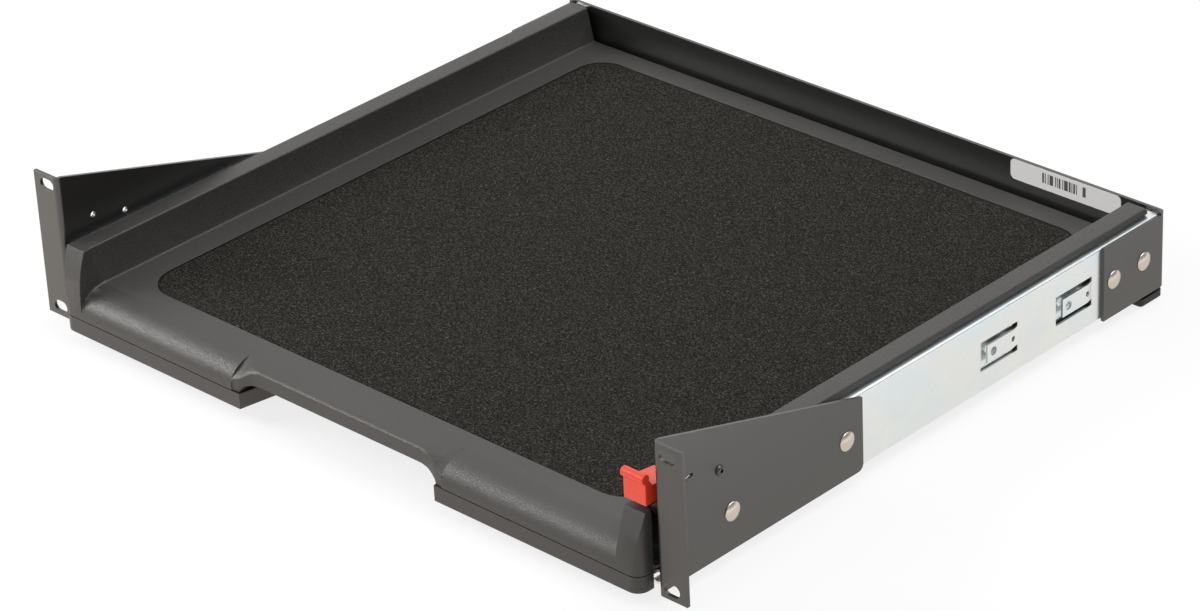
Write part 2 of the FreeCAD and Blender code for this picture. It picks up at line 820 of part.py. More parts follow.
def cove_nose():
    """The cove's front end, which follows the roll down beside the wall as a narrowing wedge."""
    roll = roll_section(0).Edges[1]
    wedges = []
    for k in range(nose_sections + 1):
        f = k / nose_sections
        spot = roll.valueAt(roll.FirstParameter + (roll.LastParameter - roll.FirstParameter) * f * nose_end)
        foot = wall_foot - wall_slope * (floor_top - spot.z)
        rise = cove_rise * (1 - nose_fade * f)
        low = spot.z - cove_rise
        deep = wall_slope * cove_rise + shell_wall / 2
        wedges.append(Part.makePolygon([at(foot - cove_width * (1 - nose_fade * f), spot.y, low),
                                        at(foot + deep, spot.y, low),
                                        at(foot + deep, spot.y, spot.z + rise + deep),
                                        at(foot, spot.y, spot.z + rise),
                                        at(foot - cove_width * (1 - nose_fade * f), spot.y, spot.z),
                                        at(foot - cove_width * (1 - nose_fade * f), spot.y, low)]))
    return Part.makeLoft(wedges, True, True)


def post_hollow():
    """The space inside the front end of a side wall, open below."""
    return block(ridge_inner + shell_wall, post_outer - shell_wall, tray_front + shell_wall,
                 post_rear - shell_wall, skirt_bottom - 1, floor_top)


def ridge_ends():
    """The side view of a ridge: a curved, leaning front end and a rear end that leans back."""
    arc = Part.Arc(at(0, tray_front, skirt_bottom), at(0, tray_front + ridge_front_sag, ridge_front_middle),
                   at(0, ridge_front_top, ridge_top)).toShape()
    rear_top = tray_rear - ridge_rear_lean
    spots = [at(0, ridge_front_top, ridge_top), at(0, rear_top, ridge_top), at(0, tray_rear, floor_top),
             at(0, tray_rear, skirt_bottom), at(0, tray_front, skirt_bottom)]
    edges = [arc] + [Part.LineSegment(spots[k], spots[k + 1]).toShape() for k in range(4)]
    return Part.Face(Part.Wire(edges)).extrude(RIGHT * side_outer)


def front_post():
    """The end of the side wall that closes the front of the slide, with a rounded outer corner."""
    inside = ridge_inner - post_lap
    corners = [(inside, tray_front), (post_outer, tray_front, post_corner),
               (post_outer, post_rear, post_rear_corner), (inside, post_rear)]
    return plan(corners, skirt_bottom, ridge_top)


def recess_plan(grow):
    """Plan outline of the hand recess, grown outwards by a wall."""
    front = tray_front - lip_depth
    wide = recess_half + grow
    narrow = recess_half - recess_taper + grow
    deep = tray_front + recess_depth + grow
    return [(-wide, front), (wide, front), (narrow, deep, recess_corner), (-narrow, deep, recess_corner)]


def mat_outline(gap):
    half = mat_half_width - gap
    front = mat_front + gap
    rear = mat_rear - gap
    return [(-half, front, mat_front_corner - gap), (half, front, mat_front_corner - gap),
            (half, rear, mat_rear_corner - gap), (-half, rear, mat_rear_corner - gap)]


def tray_top():
    ends = ridge_ends()
    side = ridge().common(ends)
    post = front_post().common(ends)
    floor = block(-cove_inside, cove_inside, mat_front - 1, tray_rear, floor_under, floor_top)
    rear_skirt = block(-tray_side, tray_side, tray_rear - shell_wall, tray_rear, skirt_bottom, floor_top)
    behind_lip = block(-roll_end, roll_end, mat_front - 1, tray_rear, 0, floor_top)
    apron = plan(recess_plan(base_wall), skirt_bottom, floor_under + 1).common(behind_lip)
    sides = [side, post, cove_nose()]
    shell = front_border().multiFuse([floor, rear_skirt, apron] + sides + [mirrored(p) for p in sides])
    shell = shell.multiFuse([rod(boss_radius, at(x, y, pad_top), at(x, y, floor_under + 1))
                             for x, y in tray_screw_places])
    lip_back = tray_front + lip_setback + shell_wall
    over_hand = block(-roll_end, roll_end, lip_back, tray_rear, 0, floor_top)
    recess = plan(recess_plan(0), skirt_bottom - 1, floor_under).common(over_hand)
    cuts = [recess, plan(mat_outline(0), pocket_floor, floor_top + 1)]
    for space in (post_hollow(), roll_hollow()):
        cuts += [space, mirrored(space)]
    cuts += [rod(tray_screw_shank + screw_gap, at(x, y, pad_top), at(x, y, screw_seat + tray_screw_length))
             for x, y in tray_screw_places]
    cuts.append(block(ridge_inner - ridge_draft, ridge_flank + 1, tray_front, ridge_front_top + notch_length,
                      ridge_top - notch_depth, ridge_top + 1))
    half = rail_boss / 2
    inside = tray_side - rail_screw_length
    bosses = [block(inside, tray_side - 1, y - half, y + half, rail_centre - half, rail_centre + half)
              for y in rail_screw_places]
    pilots = [rod(rail_screw_shank + screw_gap, at(tray_side, y, rail_centre), at(inside + 1, y, rail_centre))
              for y in rail_screw_places]
    shell = shell.cut(cuts).multiFuse(bosses + [mirrored(b) for b in bosses])
    return shell.cut(pilots + [mirrored(p) for p in pilots]).removeSplitter()


# Tray base shell

def base_plan(inset):
    """Plan outline of the base: wide in front of the slides and narrow between them."""
    wide = post_outer - inset
    narrow = tray_side - base_side_gap - inset
    step = post_rear - inset
    front = tray_front + inset
    rear = tray_rear - inset
    round_front = post_corner - inset
    round_back = max(post_rear_corner - inset, 0)
    return [(-wide, front, round_front), (wide, front, round_front), (wide, step, round_back), (narrow, step),
            (narrow, rear), (-narrow, rear), (-narrow, step), (-wide, step, round_back)]


def tray_base():
    body = plan(base_plan(0), tray_bottom, base_top)
    body = body.cut(plan(base_plan(base_wall), tray_bottom + base_wall, base_top + 1))
    recess = plan(recess_plan(0), tray_bottom - 1, base_top + 1)
    recess_wall = plan(recess_plan(base_wall), tray_bottom, base_top)
    recess_wall = recess_wall.common(plan(base_plan(0), tray_bottom, base_top))
    pads = [rod(pad_radius, at(x, y, tray_bottom), at(x, y, pad_top)) for x, y in tray_screw_places]
    body = body.multiFuse([recess_wall] + pads).removeSplitter()
    cuts = [recess]
    for x, y in tray_screw_places:
        cuts.append(rod(tray_screw_shank + screw_gap, at(x, y, screw_seat), at(x, y, pad_top)))
        cuts.append(rod(tray_screw_head + tray_screw_room, at(x, y, tray_bottom), at(x, y, screw_seat)))
    return body.cut(cuts)


def tray_screws():
    """Flat-head screws driven up through the base into the bosses of the top shell."""
    screws = []
    for x, y in tray_screw_places:
        head = rod(tray_screw_head, at(x, y, screw_seat - tray_screw_head_height), at(x, y, screw_seat))
        tip = screw_seat + tray_screw_length - screw_tip
        shank = rod(tray_screw_shank, at(x, y, screw_seat), at(x, y, tip))
        screws.append(joined(head, shank))
    return Part.makeCompound(screws)


def carpet_mat():
    return plan(mat_outline(mat_gap), pocket_floor, pocket_floor + mat_thickness)


# Latch

def release_latch():
    """A thumb tab with a rolled bead, on an arm that turns on the pivot sleeve above the slide."""
    bottom = latch_bottom
    front_top = bottom + latch_body_front_height
    rear_top = bottom + latch_body_rear_height
    plate_back = latch_front + latch_plate
    body = across([(latch_front, bottom, 0.5), (latch_body_rear, bottom), (latch_body_rear, rear_top, 1.0),
                   (plate_back + latch_flare, front_top, latch_flare),
                   (plate_back - latch_taper, latch_plate_top),
                   (latch_front, latch_plate_top)], latch_left, latch_right)
    bead_along = latch_front + latch_bead_back
    bead_height = latch_plate_top + latch_bead_rise
    bead = rod(latch_bead, at(latch_left, bead_along, bead_height), at(latch_right, bead_along, bead_height))
    arm_front = latch_body_rear - arm_overlap
    arm = across([(arm_front, bottom), (arm_neck, bottom), (arm_neck, pivot_height + arm_rise),
                  (arm_front, rear_top + arm_front_rise)], latch_arm_inner, latch_arm_outer)
    neck = across([(arm_neck - arm_overlap, bottom), (pivot_along, pivot_height - hub_radius + 1.0),
                   (pivot_along, pivot_height + hub_radius - 0.5),
                   (arm_neck - arm_overlap, pivot_height + arm_rise)], hub_inner, latch_arm_outer)
    axis = lambda x: at(x, pivot_along, pivot_height)
    hub = rod(hub_radius, axis(hub_inner), axis(latch_arm_outer))
    collar = rod(collar_radius, axis(latch_arm_outer), axis(collar_outer))
    lever = joined(body, bead, arm, neck, hub, collar)
    return lever.cut(rod(sleeve_radius + pivot_clearance, axis(hub_inner - hub_radius), axis(side_inner)))


def pivot_sleeve():
    """A flanged, threaded sleeve that the latch turns on, drawn against the bracket by its screw."""
    axis = lambda x: at(x, pivot_along, pivot_height)
    flange_face = hub_inner - sleeve_flange_gap
    sleeve = joined(rod(sleeve_radius, axis(flange_face), axis(side_inner)),
                    rod(sleeve_flange, axis(flange_face - sleeve_flange_thickness), axis(flange_face)))
    return sleeve.cut(rod(screw_core, axis(flange_face - sleeve_flange), axis(side_inner + 1)))


def pivot_screw():
    """A button-head screw with a hexagon socket."""
    axis = lambda x: at(x, pivot_along, pivot_height)
    radius = (screw_head ** 2 + screw_head_height ** 2) / (2 * screw_head_height)
    dome = ball(radius, axis(side_outer + screw_head_height - radius))
    head = dome.common(rod(screw_head, axis(side_outer), axis(side_outer + screw_head_height + 1)))
    shank = rod(screw_core, axis(hub_inner), axis(side_outer))
    corner = socket_across / 2 / math.cos(math.radians(30))
    points = [(pivot_along + corner * math.cos(math.radians(60 * k)),
               pivot_height + corner * math.sin(math.radians(60 * k))) for k in range(6)]
    top = side_outer + screw_head_height
    return joined(head, shank).cut(across(points, top - socket_depth, top + 1))


def wire(points):
    """A wire bent through a list of points: flat-sided, with six sides, and mitred at each bend."""
    rings = []
    side = (points[1] - points[0]).cross(UP).normalize()
    for k, point in enumerate(points):
        before = (point - points[max(k - 1, 0)])
        after = (points[min(k + 1, len(points) - 1)] - point)
        run = (before if before.Length > 0 else after).normalize()
        ahead = (after if after.Length > 0 else before).normalize()
        miter = (run + ahead).normalize()
        side = (side - run * side.dot(run)).normalize()
        other = run.cross(side)
        ring = []
        for n in range(wire_sides):
            turn = 2 * math.pi * n / wire_sides
            spot = (side * math.cos(turn) + other * math.sin(turn)) * spring_wire
            ring.append(point + spot - run * (spot.dot(miter) / run.dot(miter)))
        rings.append(ring)
        side = (side - ahead * side.dot(ahead)).normalize()
    facets = [Part.Face(Part.makePolygon(ring + ring[:1])) for ring in (rings[0], rings[-1])]
    for low, high in zip(rings, rings[1:]):
        for n in range(wire_sides):
            m = (n + 1) % wire_sides
            for corners in ([low[n], low[m], high[m]], [low[n], high[m], high[n]]):
                facets.append(Part.Face(Part.makePolygon(corners + corners[:1])))
    return Part.makeSolid(Part.makeShell(facets))


def latch_spring():
    """A wire torsion spring: one turn round the collar, a leg hooked in the bracket's slot and one
    leg bent over the top of the arm."""
    x_high = side_inner - spring_gap - spring_wire
    x_low = x_high - spring_pitch
    arm_rear = pivot_height + arm_rise
    arm_front = latch_bottom + latch_body_rear_height + arm_front_rise
    share = spring_hook_back / (arm_neck - latch_body_rear + arm_overlap)
    rest = arm_rear + (arm_front - arm_rear) * share + spring_wire + spring_gap
    points = [at(latch_arm_inner + spring_wire, spring_hook_along, rest), at(x_low, spring_hook_along, rest)]
    for k in range(coil_steps + 1):
        turn = math.radians(90) - 2 * math.pi * k / coil_steps
        points.append(at(x_low + spring_pitch * k / coil_steps, pivot_along + spring_radius * math.cos(turn),
                         pivot_height + spring_radius * math.sin(turn)))
    tilt = math.radians(latch_slot_tilt)
    half = latch_slot_length / 2 - latch_slot_width / 2
    in_plate = side_inner + sheet / 2
    for x, end in ((x_high, half), (in_plate, half), (in_plate, -half)):
        points.append(at(x, latch_slot_along + end * math.cos(tilt),
                         latch_slot_height + end * math.sin(tilt)))
    return wire(points)


def write(name, shape):
    """Move a piece from the ears' bottom to the slots' centre and write it."""
    moved = shape.copy()
    moved.translate(UP * -ear_middle)
    moved.exportStep("parts/" + name + ".step")


def main():
    os.makedirs("parts", exist_ok=True)
    outer = outer_rail()
    middle = middle_rail()
    inner = inner_rail()
    outer_cage = cage(outer_cage_depth, outer_ball_height, outer_ball_depth, cage_leg)
    inner_cage = cage(inner_cage_depth, inner_ball_height, inner_ball_depth, inner_cage_leg)
    outer_balls = balls(outer_ball_depth, outer_ball_height)
    inner_balls = balls(inner_ball_depth, inner_ball_height)
    paired = {"outer_rail": outer, "middle_rail": middle, "inner_rail": inner, "outer_ball_cage": outer_cage,
              "inner_ball_cage": inner_cage, "outer_balls": outer_balls, "inner_balls": inner_balls}
    for name, shape in paired.items():
        write("right_" + name, shape)
        write("left_" + name, mirrored(shape))
    single = {"right_rack_bracket": right_bracket(), "left_rack_bracket": left_bracket(),
              "rear_panel": rear_panel(), "rear_feet": rear_feet(), "rear_sticker": rear_sticker(),
              "bracket_rivets": rivets(bracket_rivets), "panel_rivets": rivets(panel_rivets),
              "rail_screws": rail_screws(), "rail_bumpers": rail_bumpers(), "tray_top": tray_top(),
              "tray_base": tray_base(), "tray_screws": tray_screws(), "carpet_mat": carpet_mat(),
              "release_latch": release_latch(), "latch_pivot_sleeve": pivot_sleeve(),
              "latch_pivot_screw": pivot_screw(), "latch_spring": latch_spring()}
    for name, shape in single.items():
        write(name, shape)


main()
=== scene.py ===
"""The looks of a sliding rack shelf, two units high: finishes, the pieces that need finer surfaces than
the frame's own, and the studio. Sizes are in millimetres, heights are measured from the bottom of the
ears, and every piece is put into the frame's own axes and metres when its mesh is made. Sizes inside a
finish or in the studio are in metres, as Blender takes them."""
import json
import bpy
import numpy as np
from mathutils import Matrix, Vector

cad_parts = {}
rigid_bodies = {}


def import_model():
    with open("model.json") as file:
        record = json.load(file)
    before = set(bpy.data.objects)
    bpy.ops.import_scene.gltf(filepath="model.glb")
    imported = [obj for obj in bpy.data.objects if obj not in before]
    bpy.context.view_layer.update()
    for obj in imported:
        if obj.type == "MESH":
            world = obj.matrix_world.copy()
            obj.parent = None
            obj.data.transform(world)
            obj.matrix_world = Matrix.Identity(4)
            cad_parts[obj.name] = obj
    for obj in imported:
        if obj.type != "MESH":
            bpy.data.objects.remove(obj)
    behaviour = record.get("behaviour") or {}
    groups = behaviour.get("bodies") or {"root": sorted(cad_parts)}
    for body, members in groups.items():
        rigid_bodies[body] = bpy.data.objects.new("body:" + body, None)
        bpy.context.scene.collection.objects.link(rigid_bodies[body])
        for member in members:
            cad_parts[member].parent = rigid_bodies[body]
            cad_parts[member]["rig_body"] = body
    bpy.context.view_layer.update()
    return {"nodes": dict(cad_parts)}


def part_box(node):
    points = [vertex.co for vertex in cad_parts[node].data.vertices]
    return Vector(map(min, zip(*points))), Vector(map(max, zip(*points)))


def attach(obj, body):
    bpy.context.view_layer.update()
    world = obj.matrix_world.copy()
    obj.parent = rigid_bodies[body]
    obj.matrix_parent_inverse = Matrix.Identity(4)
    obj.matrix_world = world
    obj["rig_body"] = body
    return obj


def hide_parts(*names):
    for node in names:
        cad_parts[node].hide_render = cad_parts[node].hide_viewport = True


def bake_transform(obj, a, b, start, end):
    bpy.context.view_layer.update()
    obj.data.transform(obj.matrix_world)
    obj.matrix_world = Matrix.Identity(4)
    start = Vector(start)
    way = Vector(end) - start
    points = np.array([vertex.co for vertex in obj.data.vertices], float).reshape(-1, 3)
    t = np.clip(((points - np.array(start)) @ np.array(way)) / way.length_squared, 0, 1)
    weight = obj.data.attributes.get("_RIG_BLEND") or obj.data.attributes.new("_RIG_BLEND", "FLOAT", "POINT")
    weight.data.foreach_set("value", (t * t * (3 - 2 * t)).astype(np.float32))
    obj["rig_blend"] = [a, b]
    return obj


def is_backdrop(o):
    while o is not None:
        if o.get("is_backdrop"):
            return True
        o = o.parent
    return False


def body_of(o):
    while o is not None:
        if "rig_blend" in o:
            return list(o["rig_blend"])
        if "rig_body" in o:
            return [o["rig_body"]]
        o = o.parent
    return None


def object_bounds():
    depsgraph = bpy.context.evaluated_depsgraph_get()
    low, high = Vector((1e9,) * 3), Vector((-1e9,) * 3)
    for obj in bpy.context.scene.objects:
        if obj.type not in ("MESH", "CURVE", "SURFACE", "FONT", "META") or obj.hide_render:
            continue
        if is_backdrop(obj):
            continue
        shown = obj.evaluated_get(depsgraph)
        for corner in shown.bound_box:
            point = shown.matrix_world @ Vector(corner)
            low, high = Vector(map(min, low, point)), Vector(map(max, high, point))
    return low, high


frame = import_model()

node = frame["nodes"]

EAR_MIDDLE = 44.05
METRE = 0.001
CIRCLE = 2 * np.pi
SHARP = 38.0

# Places that the pieces share with the frame
SIDE_OUTER = 223.8
RAIL_CENTRE = 23.7
FLOOR_TOP = 26.6
POCKET_FLOOR = 24.4
RIDGE_TOP = 49.8
PIVOT = (45.2, 51.3)
RIVET_PLACES = {"bracket_rivets": (53.6, 141.4), "panel_rivets": (364.3, 390.9)}
TRAY_SCREW_PLACES = [(x, y, 1.9) for x in (-150, 150) for y in (62, 206, 350)]
BALL_NODES = ("right_outer_balls", "right_inner_balls", "left_outer_balls", "left_inner_balls")
RAIL_PARTS = ("outer_rail", "middle_rail", "inner_rail", "outer_ball_cage", "inner_ball_cage")

# The label's bars: the middle of their block, its half width and half height, and steps to the metre
BARS_MIDDLE = (0.155, -0.0025)
BARS_REACH = (0.0156, 0.0031)
BAR_STEPS = 1550.0

# The studio: name, place, aim, width and power of each softbox, and the fitted camera
SOFTBOXES = [("overhead", (0.6, 0.5, 2.6), (0, 0.2, 0), 2.2, 46),
             ("front_left", (-1.58, -0.82, 0.93), (-0.1, 0.0, 0), 0.95, 31),
             ("front", (0.0, -2.4, 0.9), (0, 0.2, 0), 1.2, 10),
             ("back_right", (1.25, 1.55, 1.6), (0.1, 0.2, 0), 0.5, 4)]
CAMERA_PLACE = (1.482436, -1.305399, 1.114561)
CAMERA_TURN = (1.068972, 0.042827, 0.756500)
CAMERA_LENS = 130.534
CAMERA_FILM = 36.0
CAMERA_REACH = 60.0


# Shapes

def weave(name, points):
    """A mesh over a grid of points, rows by columns by three, whose columns close on themselves, with
    one four-sided face to each cell. Points that fall together become one, so that seams and poles
    are closed, and a face that loses a corner there is left with three."""
    rows, columns = points.shape[:2]
    index = np.arange(rows * columns).reshape(rows, columns)
    index = np.hstack([index, index[:, :1]])
    quads = np.stack([index[:-1, :-1], index[:-1, 1:], index[1:, 1:], index[1:, :-1]], axis=-1)
    flat = points.reshape(-1, 3)
    grain = np.round(flat * 1e4).astype(np.int64)
    _, first, same = np.unique(grain, axis=0, return_index=True, return_inverse=True)
    quads = same.reshape(-1)[quads.reshape(-1, 4)]
    differs = quads != np.roll(quads, 1, axis=1)
    whole = quads[differs.all(axis=1)]
    part = differs.sum(axis=1) == 3
    thirds = quads[part][differs[part]].reshape(-1, 3)
    return mesh(name, flat[first], whole.tolist() + thirds.tolist())


def mesh(name, places, faces, turn=True):
    """A closed object from points in millimetres over the ears' bottom, and faces. It is shaded smooth
    but for its sharp edges, and its faces are turned outwards unless they already are."""
    data = bpy.data.meshes.new(name)
    data.from_pydata((np.asarray(places) - (0, 0, EAR_MIDDLE)) * METRE, [], faces)
    made = bpy.data.objects.new(name, data)
    bpy.context.scene.collection.objects.link(made)
    if turn:
        outward(made)
    data.shade_smooth()
    data.set_sharp_from_angle(angle=np.radians(SHARP))
    return made


def outward(piece):
    """Turn all faces of a closed piece outwards."""
    bpy.context.view_layer.objects.active = piece
    piece.select_set(True)
    bpy.ops.object.mode_set(mode="EDIT")
    bpy.ops.mesh.select_all(action="SELECT")
    bpy.ops.mesh.normals_make_consistent(inside=False)
    bpy.ops.object.mode_set(mode="OBJECT")
    piece.select_set(False)


def together(name, pieces):
    """One object from several, under this name."""
    if len(pieces) > 1:
        with bpy.context.temp_override(active_object=pieces[0], selected_editable_objects=pieces):
            bpy.ops.object.join()
    pieces[0].name = name
    pieces[0].data.name = name
    return pieces[0]


def eased(piece, width):
    """Round a piece's sharp edges off by this width in millimetres, in its own mesh."""
    edge = piece.modifiers.new("eased", "BEVEL")
    edge.width = width * METRE
    edge.segments = 3
    edge.limit_method = "ANGLE"
    edge.angle_limit = np.radians(35)
    edge.harden_normals = True
    with bpy.context.temp_override(active_object=piece, object=piece):
        bpy.ops.object.modifier_apply(modifier=edge.name)
    return piece


def turned(profile, centre, way=1.0, sides=48, notch=None):
    """A piece turned on a lathe that points along X: each row of the profile is (place along the axis,
    radius), swept round a circle. notch(radius, angle) may give other radii, as for a socket."""
    along, radius = np.array(profile, float).T
    angle = np.linspace(0, CIRCLE, sides, endpoint=False)
    a, t = np.meshgrid(along, angle, indexing="ij")
    r = np.meshgrid(radius, angle, indexing="ij")[0]
    if notch is not None:
        r = notch(r, t)
    spots = np.stack([centre[0] + way * a, centre[1] + r * np.cos(t),
                      centre[2] + way * r * np.sin(t)], axis=-1)
    return weave("turned", spots)


def rounded(corners, steps=6):
    """A closed outline through corners (across, up, radius): at each corner the points follow an arc
    that touches both sides, worked out from the corner's half angle; no radius keeps the corner."""
    spots = np.array([c[:2] for c in corners], float)
    radii = np.array([c[2] if len(c) > 2 else 0.0 for c in corners], float)
    before = np.roll(spots, 1, axis=0) - spots
    after = np.roll(spots, -1, axis=0) - spots
    before /= np.linalg.norm(before, axis=1, keepdims=True)
    after /= np.linalg.norm(after, axis=1, keepdims=True)
    half = np.arccos(np.clip((before * after).sum(axis=1), -1, 1)) / 2
    reach = radii / np.tan(half)
    first = spots + before * reach[:, None]
    last = spots + after * reach[:, None]
    middle = before + after
    middle /= np.maximum(np.linalg.norm(middle, axis=1, keepdims=True), 1e-9)
    centre = spots + middle * (radii / np.sin(half))[:, None]
    share = np.linspace(0, 1, steps)[None, :, None]
    chord = first[:, None] * (1 - share) + last[:, None] * share - centre[:, None]
    length = np.maximum(np.linalg.norm(chord, axis=2, keepdims=True), 1e-9)
    bent = centre[:, None] + chord / length * radii[:, None, None]
    bent = np.where(radii[:, None, None] > 0, bent, spots[:, None])
    flat = bent.reshape(-1, 2)
    keep = np.linalg.norm(flat - np.roll(flat, 1, axis=0), axis=1) > 1e-6
    return flat[keep]


def slab(name, outline, low, high, place):
    """A closed plate of one thickness: the outline at two levels, walls between and a face on each
    side. place(across, up, level) turns the outline's two directions and the level into X, Y, Z."""
    count = len(outline)
    ends = [np.stack(place(outline[:, 0], outline[:, 1], np.full(count, level)), axis=-1)
            for level in (low, high)]
    ring = np.arange(count)
    walls = np.stack([ring, np.roll(ring, -1), np.roll(ring, -1) + count, ring + count], axis=-1)
    caps = [ring[::-1].tolist(), (ring + count).tolist()]
    return mesh(name, np.vstack(ends), walls.tolist() + caps)


def bend(corners, radius):
    """A path through corners, each cut back by the radius and rounded with a parabola between."""
    spots = np.asarray(corners, float)
    out = [spots[:1]]
    share = np.linspace(0, 1, 7)[:, None]
    for before, corner, after in zip(spots, spots[1:], spots[2:]):
        back = before - corner
        ahead = after - corner
        first = corner + back / np.linalg.norm(back) * radius
        last = corner + ahead / np.linalg.norm(ahead) * radius
        out.append(first * (1 - share) ** 2 + corner * 2 * share * (1 - share) + last * share ** 2)
    return np.vstack(out + [spots[-1:]])


def bent_wire(name, path, radius, sides=14):
    """A round wire along a path: at each point a ring stands square to the path's direction there,
    with its first side set by one fixed direction that the path never takes."""
    askew = np.array([0.62, 0.55, 0.56])
    path = np.asarray(path, float)
    run = np.gradient(path, axis=0)
    run /= np.linalg.norm(run, axis=1, keepdims=True)
    side = np.cross(run, askew)
    side /= np.linalg.norm(side, axis=1, keepdims=True)
    other = np.cross(run, side)
    turn = np.linspace(0, CIRCLE, sides, endpoint=False)[None, :, None]
    rings = path[:, None] + radius * (side[:, None] * np.cos(turn) + other[:, None] * np.sin(turn))
    caps = [np.repeat(path[k][None, None], sides, axis=1) for k in (0, -1)]
    return weave(name, np.concatenate([caps[0], rings, caps[1]]))


# Steps of a finish

def finish(name, colour, roughness, metallic=0.0):
    """A material with its principled shader set; returns it with its tree, ready for more detail."""
    made = bpy.data.materials.new(name)
    made.use_nodes = True
    shader = made.node_tree.nodes["Principled BSDF"]
    shader.inputs["Base Color"].default_value = (*colour, 1.0)
    shader.inputs["Roughness"].default_value = roughness
    shader.inputs["Metallic"].default_value = metallic
    return made, made.node_tree, shader


def coordinates(tree, stretch=(1, 1, 1)):
    """Object coordinates, stretched by a factor along each axis."""
    source = tree.nodes.new("ShaderNodeTexCoord")
    mapping = tree.nodes.new("ShaderNodeMapping")
    mapping.inputs["Scale"].default_value = stretch
    tree.links.new(source.outputs["Object"], mapping.inputs["Vector"])
    return mapping.outputs["Vector"]


def axes(tree, vector):
    """A vector's three numbers."""
    split = tree.nodes.new("ShaderNodeSeparateXYZ")
    tree.links.new(vector, split.inputs[0])
    return split.outputs["X"], split.outputs["Y"], split.outputs["Z"]


def noise(tree, where, scale, detail=2.0, rough=0.5):
    """Fine noise, a value from 0 to 1, with this many features to the metre."""
    made = tree.nodes.new("ShaderNodeTexNoise")
    made.inputs["Scale"].default_value = scale
    made.inputs["Detail"].default_value = detail
    made.inputs["Roughness"].default_value = rough
    tree.links.new(where, made.inputs["Vector"])
    return made.outputs["Fac"]


def sums(tree, operation, *values):
    """One step of arithmetic on values and plain numbers."""
    made = tree.nodes.new("ShaderNodeMath")
    made.operation = operation
    for socket, value in zip(made.inputs, values):
        if isinstance(value, (int, float)):
            socket.default_value = value
        else:
            tree.links.new(value, socket)
    return made.outputs[0]


def ramp(tree, value, stops):
    """Colours that follow a value, given as (place, colour) stops."""
    made = tree.nodes.new("ShaderNodeValToRGB")
    band = made.color_ramp
    while len(band.elements) < len(stops):
        band.elements.new(0.5)
    for element, (place, colour) in zip(band.elements, stops):
        element.position = place
        element.color = (*colour, 1.0)
    tree.links.new(value, made.inputs["Fac"])
    return made.outputs["Color"]


def spread(tree, value, low, high, a=0.3, b=0.7):
    """A value that goes from low to high as another goes from a to b."""
    made = tree.nodes.new("ShaderNodeMapRange")
    for key, number in (("From Min", a), ("From Max", b), ("To Min", low), ("To Max", high)):
        made.inputs[key].default_value = number
    tree.links.new(value, made.inputs["Value"])
    return made.outputs["Result"]


def soft_edges(tree, radius):
    """Normals as if every sharp edge were rounded off by this radius in metres."""
    made = tree.nodes.new("ShaderNodeBevel")
    made.samples = 6
    made.inputs["Radius"].default_value = radius
    return made.outputs["Normal"]


def relief(tree, shader, height, depth, strength, under=None):
    """A bump of this depth in metres, laid over other normals if there are any."""
    made = tree.nodes.new("ShaderNodeBump")
    made.inputs["Distance"].default_value = depth
    made.inputs["Strength"].default_value = strength
    tree.links.new(height, made.inputs["Height"])
    if under is not None:
        tree.links.new(under, made.inputs["Normal"])
    tree.links.new(made.outputs["Normal"], shader.inputs["Normal"])


def painted(tree, shader, value, stops):
    """A base colour that follows a value."""
    tree.links.new(ramp(tree, value, stops), shader.inputs["Base Color"])


def hazed(tree, shader, value, low, high, a=0.3, b=0.7):
    """A roughness that follows a value."""
    tree.links.new(spread(tree, value, low, high, a, b), shader.inputs["Roughness"])


def paler(colour, share):
    """A share of a colour."""
    return tuple(share * c for c in colour)


# Finishes

def grained_plastic(name, dark, light):
    """Charcoal plastic with a fine spark-eroded grain, slightly uneven in colour and gloss."""
    made, tree, shader = finish(name, dark, 0.45)
    shader.inputs["IOR"].default_value = 1.62
    shader.inputs["Specular Tint"].default_value = (1.0, 0.975, 0.945, 1.0)
    where = coordinates(tree)
    cloud = noise(tree, where, 9.0, 3.0)
    grain = noise(tree, where, 1150.0, 2.0, 0.7)
    uneven = sums(tree, "MULTIPLY_ADD", grain, 0.9, sums(tree, "MULTIPLY", cloud, 0.5))
    painted(tree, shader, uneven, [(0.45, dark), (0.95, light)])
    hazed(tree, shader, grain, 0.38, 0.64, 0.35, 0.65)
    relief(tree, shader, grain, 0.00017, 0.9, soft_edges(tree, 0.0007))
    return made


def powder_coat(name, dark, light):
    """Baked powder on steel: a faint orange peel under a glossy skin, and a tone that drifts."""
    made, tree, shader = finish(name, dark, 0.5)
    shader.inputs["IOR"].default_value = 1.84
    shader.inputs["Specular Tint"].default_value = (1.0, 0.995, 0.985, 1.0)
    where = coordinates(tree)
    cloud = noise(tree, where, 7.0, 2.0)
    peel = noise(tree, where, 700.0, 3.0, 0.55)
    painted(tree, shader, cloud, [(0.3, dark), (0.7, light)])
    hazed(tree, shader, peel, 0.30, 0.38)
    relief(tree, shader, peel, 0.00001, 0.4, soft_edges(tree, 0.0004))
    return made


def zinc_plate(name):
    """Pale bright zinc on strip steel: a faint tint that wanders between blue, green and grey, and
    fine lines along the strip, from noise drawn out fifty times along Y."""
    made, tree, shader = finish(name, (0.70, 0.72, 0.72), 0.34, 1.0)
    drift = noise(tree, coordinates(tree), 22.0, 4.0, 0.6)
    tints = [(0.32, (0.75, 0.81, 0.86)), (0.46, (0.80, 0.83, 0.82)),
             (0.58, (0.74, 0.82, 0.85)), (0.70, (0.80, 0.82, 0.84))]
    painted(tree, shader, drift, tints)
    lines = noise(tree, coordinates(tree, (1.0, 0.02, 1.0)), 2400.0, 2.0)
    hazed(tree, shader, lines, 0.27, 0.32)
    relief(tree, shader, lines, 0.000003, 0.4, soft_edges(tree, 0.0003))
    return made


